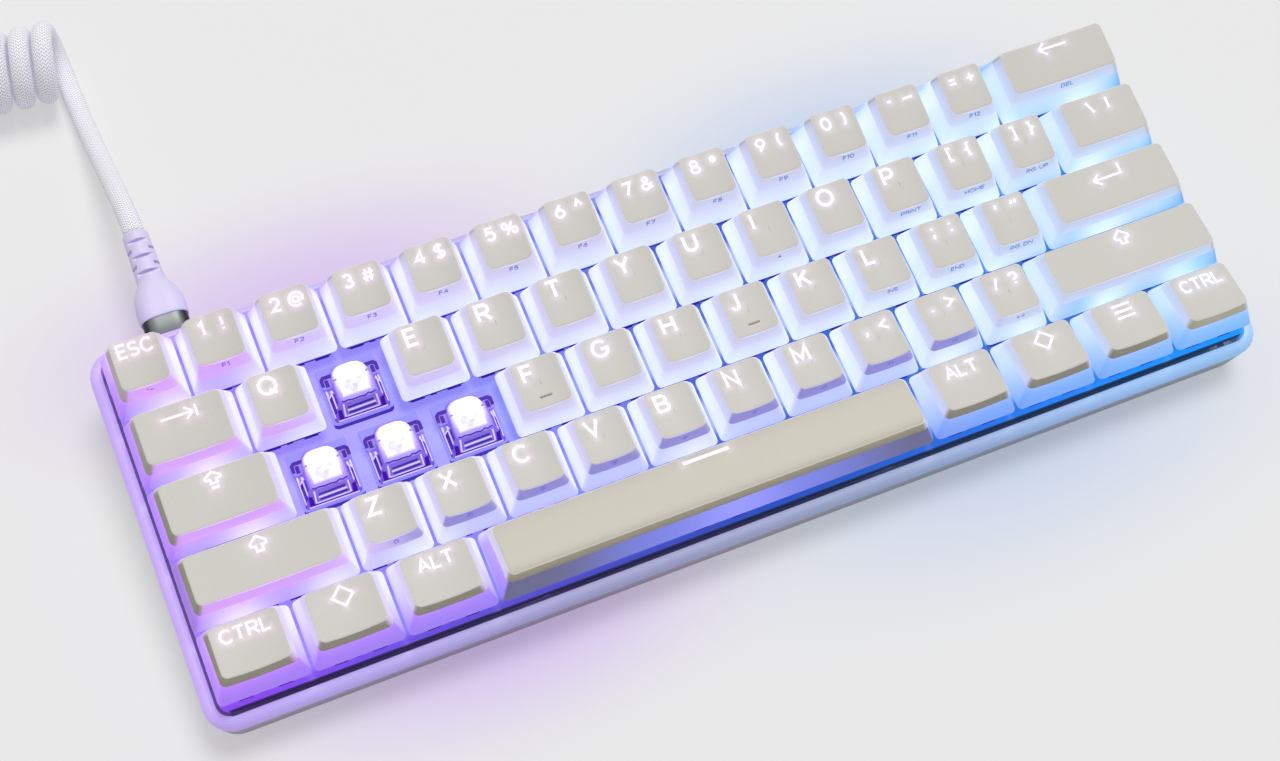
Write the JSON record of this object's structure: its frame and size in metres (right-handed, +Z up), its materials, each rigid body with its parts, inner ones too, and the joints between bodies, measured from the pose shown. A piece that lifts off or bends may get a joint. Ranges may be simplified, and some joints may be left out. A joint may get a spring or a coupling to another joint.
{
  "type": "mechanical keyboard",
  "caption": "Compact mechanical keyboard with open plate, sprung keys on clear-topped switches, some caps off, balance wires, folding feet and a curly braided lead.",
  "frame": {"origin": "middle of the footprint of the keyboard without its lead, on the table under the rubber feet", "axes": "+X to the typist's right along the key rows, +Y to the rear, +Z up"},
  "size_m": [0.3837, 0.2751, 0.0394],
  "materials": {
    "case_white": "fine matt moulded grain",
    "plate_metal": "fine matt white coating, lit by the key lights",
    "board": "smooth solder mask",
    "switch_white": "smooth moulded",
    "switch_clear": "clear, polished",
    "cap_grey": "opaque matt top over a frosted light-passing skirt",
    "steel": "bright drawn wire and turned steel",
    "rubber": "matt",
    "plug_white": "soft moulded, with a dark satin metal collar",
    "braid": "tight herringbone braid"
  },
  "bodies": {
    "base": {"bottom_case": "case_white", "switch_plate": "plate_metal", "circuit_board": "board", "switch_bases": "switch_white", "switch_tops": "switch_clear", "switch_springs": "steel", "stabilizer_housings": "switch_white", "case_screws": "steel", "rubber_feet": "rubber", "device_plug": "plug_white", "cord_lead": "braid", "cord_curl": "braid", "cord_end": "steel"},
    "key_esc": {"key_esc": "cap_grey"},
    "keys_number_row": {"keys_number_row": "cap_grey"},
    "key_backspace": {"key_backspace": "cap_grey"},
    "key_tab": {"key_tab": "cap_grey"},
    "key_q": {"key_q": "cap_grey"},
    "stem_w": {"stem_w": "switch_white"},
    "key_e": {"key_e": "cap_grey"},
    "key_r": {"key_r": "cap_grey"},
    "key_t": {"key_t": "cap_grey"},
    "key_y": {"key_y": "cap_grey"},
    "key_u": {"key_u": "cap_grey"},
    "key_i": {"key_i": "cap_grey"},
    "key_o": {"key_o": "cap_grey"},
    "key_p": {"key_p": "cap_grey"},
    "keys_punctuation": {"keys_punctuation": "cap_grey"},
    "key_caps": {"key_caps": "cap_grey"},
    "stem_a": {"stem_a": "switch_white"},
    "stem_s": {"stem_s": "switch_white"},
    "stem_d": {"stem_d": "switch_white"},
    "key_f": {"key_f": "cap_grey"},
    "key_g": {"key_g": "cap_grey"},
    "key_h": {"key_h": "cap_grey"},
    "key_j": {"key_j": "cap_grey"},
    "key_k": {"key_k": "cap_grey"},
    "key_l": {"key_l": "cap_grey"},
    "key_enter": {"key_enter": "cap_grey"},
    "key_shift_left": {"key_shift_left": "cap_grey"},
    "key_z": {"key_z": "cap_grey"},
    "key_x": {"key_x": "cap_grey"},
    "key_c": {"key_c": "cap_grey"},
    "key_v": {"key_v": "cap_grey"},
    "key_b": {"key_b": "cap_grey"},
    "key_n": {"key_n": "cap_grey"},
    "key_m": {"key_m": "cap_grey"},
    "key_shift_right": {"key_shift_right": "cap_grey"},
    "key_ctrl_left": {"key_ctrl_left": "cap_grey"},
    "key_super_left": {"key_super_left": "cap_grey"},
    "key_alt_left": {"key_alt_left": "cap_grey"},
    "key_space": {"key_space": "cap_grey"},
    "keys_right_modifiers": {"keys_right_modifiers": "cap_grey"},
    "wire_backspace": {"wire_backspace": "steel"},
    "wire_enter": {"wire_enter": "steel"},
    "wire_shift_left": {"wire_shift_left": "steel"},
    "wire_shift_right": {"wire_shift_right": "steel"},
    "wire_space": {"wire_space": "steel"},
    "tilt_foot_left": {"tilt_foot_left": "case_white"},
    "tilt_foot_right": {"tilt_foot_right": "case_white"}
  },
  "joints": [
    {"name": "key_esc_press", "type": "slide", "parent": "base", "child": "key_esc", "axis": [0, 0.0872, -0.9962], "range_m": [0, 0.0036], "stiffness_N_per_m": 70, "springref_m": -0.0045, "deforming": ["switch_springs"]},
    {"name": "keys_number_row_press", "type": "slide", "parent": "base", "child": "keys_number_row", "axis": [0, 0.0872, -0.9962], "range_m": [0, 0.0036], "stiffness_N_per_m": 840, "springref_m": -0.0045, "deforming": ["switch_springs"]},
    {"name": "key_backspace_press", "type": "slide", "parent": "base", "child": "key_backspace", "axis": [0, 0.0872, -0.9962], "range_m": [0, 0.0036], "stiffness_N_per_m": 70, "springref_m": -0.0045, "deforming": ["switch_springs"]},
    {"name": "key_tab_press", "type": "slide", "parent": "base", "child": "key_tab", "axis": [0, 0.0872, -0.9962], "range_m": [0, 0.0036], "stiffness_N_per_m": 70, "springref_m": -0.0045, "deforming": ["switch_springs"]},
    {"name": "key_q_press", "type": "slide", "parent": "base", "child": "key_q", "axis": [0, 0.0872, -0.9962], "range_m": [0, 0.0036], "stiffness_N_per_m": 70, "springref_m": -0.0045, "deforming": ["switch_springs"]},
    {"name": "stem_w_press", "type": "slide", "parent": "base", "child": "stem_w", "axis": [0, 0.0872, -0.9962], "range_m": [0, 0.0036], "stiffness_N_per_m": 70, "springref_m": -0.0045, "deforming": ["switch_springs"]},
    {"name": "key_e_press", "type": "slide", "parent": "base", "child": "key_e", "axis": [0, 0.0872, -0.9962], "range_m": [0, 0.0036], "stiffness_N_per_m": 70, "springref_m": -0.0045, "deforming": ["switch_springs"]},
    {"name": "key_r_press", "type": "slide", "parent": "base", "child": "key_r", "axis": [0, 0.0872, -0.9962], "range_m": [0, 0.0036], "stiffness_N_per_m": 70, "springref_m": -0.0045, "deforming": ["switch_springs"]},
    {"name": "key_t_press", "type": "slide", "parent": "base", "child": "key_t", "axis": [0, 0.0872, -0.9962], "range_m": [0, 0.0036], "stiffness_N_per_m": 70, "springref_m": -0.0045, "deforming": ["switch_springs"]},
    {"name": "key_y_press", "type": "slide", "parent": "base", "child": "key_y", "axis": [0, 0.0872, -0.9962], "range_m": [0, 0.0036], "stiffness_N_per_m": 70, "springref_m": -0.0045, "deforming": ["switch_springs"]},
    {"name": "key_u_press", "type": "slide", "parent": "base", "child": "key_u", "axis": [0, 0.0872, -0.9962], "range_m": [0, 0.0036], "stiffness_N_per_m": 70, "springref_m": -0.0045, "deforming": ["switch_springs"]},
    {"name": "key_i_press", "type": "slide", "parent": "base", "child": "key_i", "axis": [0, 0.0872, -0.9962], "range_m": [0, 0.0036], "stiffness_N_per_m": 70, "springref_m": -0.0045, "deforming": ["switch_springs"]},
    {"name": "key_o_press", "type": "slide", "parent": "base", "child": "key_o", "axis": [0, 0.0872, -0.9962], "range_m": [0, 0.0036], "stiffness_N_per_m": 70, "springref_m": -0.0045, "deforming": ["switch_springs"]},
    {"name": "key_p_press", "type": "slide", "parent": "base", "child": "key_p", "axis": [0, 0.0872, -0.9962], "range_m": [0, 0.0036], "stiffness_N_per_m": 70, "springref_m": -0.0045, "deforming": ["switch_springs"]},
    {"name": "keys_punctuation_press", "type": "slide", "parent": "base", "child": "keys_punctuation", "axis": [0, 0.0872, -0.9962], "range_m": [0, 0.0036], "stiffness_N_per_m": 560, "springref_m": -0.0045, "deforming": ["switch_springs"]},
    {"name": "key_caps_press", "type": "slide", "parent": "base", "child": "key_caps", "axis": [0, 0.0872, -0.9962], "range_m": [0, 0.0036], "stiffness_N_per_m": 70, "springref_m": -0.0045, "deforming": ["switch_springs"]},
    {"name": "stem_a_press", "type": "slide", "parent": "base", "child": "stem_a", "axis": [0, 0.0872, -0.9962], "range_m": [0, 0.0036], "stiffness_N_per_m": 70, "springref_m": -0.0045, "deforming": ["switch_springs"]},
    {"name": "stem_s_press", "type": "slide", "parent": "base", "child": "stem_s", "axis": [0, 0.0872, -0.9962], "range_m": [0, 0.0036], "stiffness_N_per_m": 70, "springref_m": -0.0045, "deforming": ["switch_springs"]},
    {"name": "stem_d_press", "type": "slide", "parent": "base", "child": "stem_d", "axis": [0, 0.0872, -0.9962], "range_m": [0, 0.0036], "stiffness_N_per_m": 70, "springref_m": -0.0045, "deforming": ["switch_springs"]},
    {"name": "key_f_press", "type": "slide", "parent": "base", "child": "key_f", "axis": [0, 0.0872, -0.9962], "range_m": [0, 0.0036], "stiffness_N_per_m": 70, "springref_m": -0.0045, "deforming": ["switch_springs"]},
    {"name": "key_g_press", "type": "slide", "parent": "base", "child": "key_g", "axis": [0, 0.0872, -0.9962], "range_m": [0, 0.0036], "stiffness_N_per_m": 70, "springref_m": -0.0045, "deforming": ["switch_springs"]},
    {"name": "key_h_press", "type": "slide", "parent": "base", "child": "key_h", "axis": [0, 0.0872, -0.9962], "range_m": [0, 0.0036], "stiffness_N_per_m": 70, "springref_m": -0.0045, "deforming": ["switch_springs"]},
    {"name": "key_j_press", "type": "slide", "parent": "base", "child": "key_j", "axis": [0, 0.0872, -0.9962], "range_m": [0, 0.0036], "stiffness_N_per_m": 70, "springref_m": -0.0045, "deforming": ["switch_springs"]},
    {"name": "key_k_press", "type": "slide", "parent": "base", "child": "key_k", "axis": [0, 0.0872, -0.9962], "range_m": [0, 0.0036], "stiffness_N_per_m": 70, "springref_m": -0.0045, "deforming": ["switch_springs"]},
    {"name": "key_l_press", "type": "slide", "parent": "base", "child": "key_l", "axis": [0, 0.0872, -0.9962], "range_m": [0, 0.0036], "stiffness_N_per_m": 70, "springref_m": -0.0045, "deforming": ["switch_springs"]},
    {"name": "key_enter_press", "type": "slide", "parent": "base", "child": "key_enter", "axis": [0, 0.0872, -0.9962], "range_m": [0, 0.0036], "stiffness_N_per_m": 70, "springref_m": -0.0045, "deforming": ["switch_springs"]},
    {"name": "key_shift_left_press", "type": "slide", "parent": "base", "child": "key_shift_left", "axis": [0, 0.0872, -0.9962], "range_m": [0, 0.0036], "stiffness_N_per_m": 70, "springref_m": -0.0045, "deforming": ["switch_springs"]},
    {"name": "key_z_press", "type": "slide", "parent": "base", "child": "key_z", "axis": [0, 0.0872, -0.9962], "range_m": [0, 0.0036], "stiffness_N_per_m": 70, "springref_m": -0.0045, "deforming": ["switch_springs"]},
    {"name": "key_x_press", "type": "slide", "parent": "base", "child": "key_x", "axis": [0, 0.0872, -0.9962], "range_m": [0, 0.0036], "stiffness_N_per_m": 70, "springref_m": -0.0045, "deforming": ["switch_springs"]},
    {"name": "key_c_press", "type": "slide", "parent": "base", "child": "key_c", "axis": [0, 0.0872, -0.9962], "range_m": [0, 0.0036], "stiffness_N_per_m": 70, "springref_m": -0.0045, "deforming": ["switch_springs"]},
    {"name": "key_v_press", "type": "slide", "parent": "base", "child": "key_v", "axis": [0, 0.0872, -0.9962], "range_m": [0, 0.0036], "stiffness_N_per_m": 70, "springref_m": -0.0045, "deforming": ["switch_springs"]},
    {"name": "key_b_press", "type": "slide", "parent": "base", "child": "key_b", "axis": [0, 0.0872, -0.9962], "range_m": [0, 0.0036], "stiffness_N_per_m": 70, "springref_m": -0.0045, "deforming": ["switch_springs"]},
    {"name": "key_n_press", "type": "slide", "parent": "base", "child": "key_n", "axis": [0, 0.0872, -0.9962], "range_m": [0, 0.0036], "stiffness_N_per_m": 70, "springref_m": -0.0045, "deforming": ["switch_springs"]},
    {"name": "key_m_press", "type": "slide", "parent": "base", "child": "key_m", "axis": [0, 0.0872, -0.9962], "range_m": [0, 0.0036], "stiffness_N_per_m": 70, "springref_m": -0.0045, "deforming": ["switch_springs"]},
    {"name": "key_shift_right_press", "type": "slide", "parent": "base", "child": "key_shift_right", "axis": [0, 0.0872, -0.9962], "range_m": [0, 0.0036], "stiffness_N_per_m": 70, "springref_m": -0.0045, "deforming": ["switch_springs"]},
    {"name": "key_ctrl_left_press", "type": "slide", "parent": "base", "child": "key_ctrl_left", "axis": [0, 0.0872, -0.9962], "range_m": [0, 0.0036], "stiffness_N_per_m": 70, "springref_m": -0.0045, "deforming": ["switch_springs"]},
    {"name": "key_super_left_press", "type": "slide", "parent": "base", "child": "key_super_left", "axis": [0, 0.0872, -0.9962], "range_m": [0, 0.0036], "stiffness_N_per_m": 70, "springref_m": -0.0045, "deforming": ["switch_springs"]},
    {"name": "key_alt_left_press", "type": "slide", "parent": "base", "child": "key_alt_left", "axis": [0, 0.0872, -0.9962], "range_m": [0, 0.0036], "stiffness_N_per_m": 70, "springref_m": -0.0045, "deforming": ["switch_springs"]},
    {"name": "key_space_press", "type": "slide", "parent": "base", "child": "key_space", "axis": [0, 0.0872, -0.9962], "range_m": [0, 0.0036], "stiffness_N_per_m": 70, "springref_m": -0.0045, "deforming": ["switch_springs"]},
    {"name": "keys_right_modifiers_press", "type": "slide", "parent": "base", "child": "keys_right_modifiers", "axis": [0, 0.0872, -0.9962], "range_m": [0, 0.0036], "stiffness_N_per_m": 280, "springref_m": -0.0045, "deforming": ["switch_springs"]},
    {"name": "wire_backspace_turn", "type": "hinge", "parent": "base", "child": "wire_backspace", "pos_m": [0.12383, 0.03001, 0.02052], "axis": [1, 0, 0], "range_deg": [-31.7, 0]},
    {"name": "wire_enter_turn", "type": "hinge", "parent": "base", "child": "wire_enter", "pos_m": [0.12144, -0.00794, 0.01719], "axis": [1, 0, 0], "range_deg": [-31.7, 0]},
    {"name": "wire_shift_left_turn", "type": "hinge", "parent": "base", "child": "wire_shift_left", "pos_m": [-0.12144, -0.02692, 0.01554], "axis": [1, 0, 0], "range_deg": [-31.7, 0]},
    {"name": "wire_shift_right_turn", "type": "hinge", "parent": "base", "child": "wire_shift_right", "pos_m": [0.11668, -0.02692, 0.01554], "axis": [1, 0, 0], "range_deg": [-31.7, 0]},
    {"name": "wire_space_turn", "type": "hinge", "parent": "base", "child": "wire_space", "pos_m": [-0.01191, -0.0459, 0.01388], "axis": [1, 0, 0], "range_deg": [-31.7, 0]},
    {"name": "tilt_foot_left_fold", "type": "hinge", "parent": "base", "child": "tilt_foot_left", "pos_m": [-0.112, 0.043, 0.0034], "axis": [1, 0, 0], "range_deg": [0, 92]},
    {"name": "tilt_foot_right_fold", "type": "hinge", "parent": "base", "child": "tilt_foot_right", "pos_m": [0.112, 0.043, 0.0034], "axis": [1, 0, 0], "range_deg": [0, 92]}
  ],
  "couplings": [
    {"joint": "wire_backspace_turn", "follows": "key_backspace_press", "rad_per_m": -153.3},
    {"joint": "wire_enter_turn", "follows": "key_enter_press", "rad_per_m": -153.3},
    {"joint": "wire_shift_left_turn", "follows": "key_shift_left_press", "rad_per_m": -153.3},
    {"joint": "wire_shift_right_turn", "follows": "key_shift_right_press", "rad_per_m": -153.3},
    {"joint": "wire_space_turn", "follows": "key_space_press", "rad_per_m": -153.3}
  ]
}
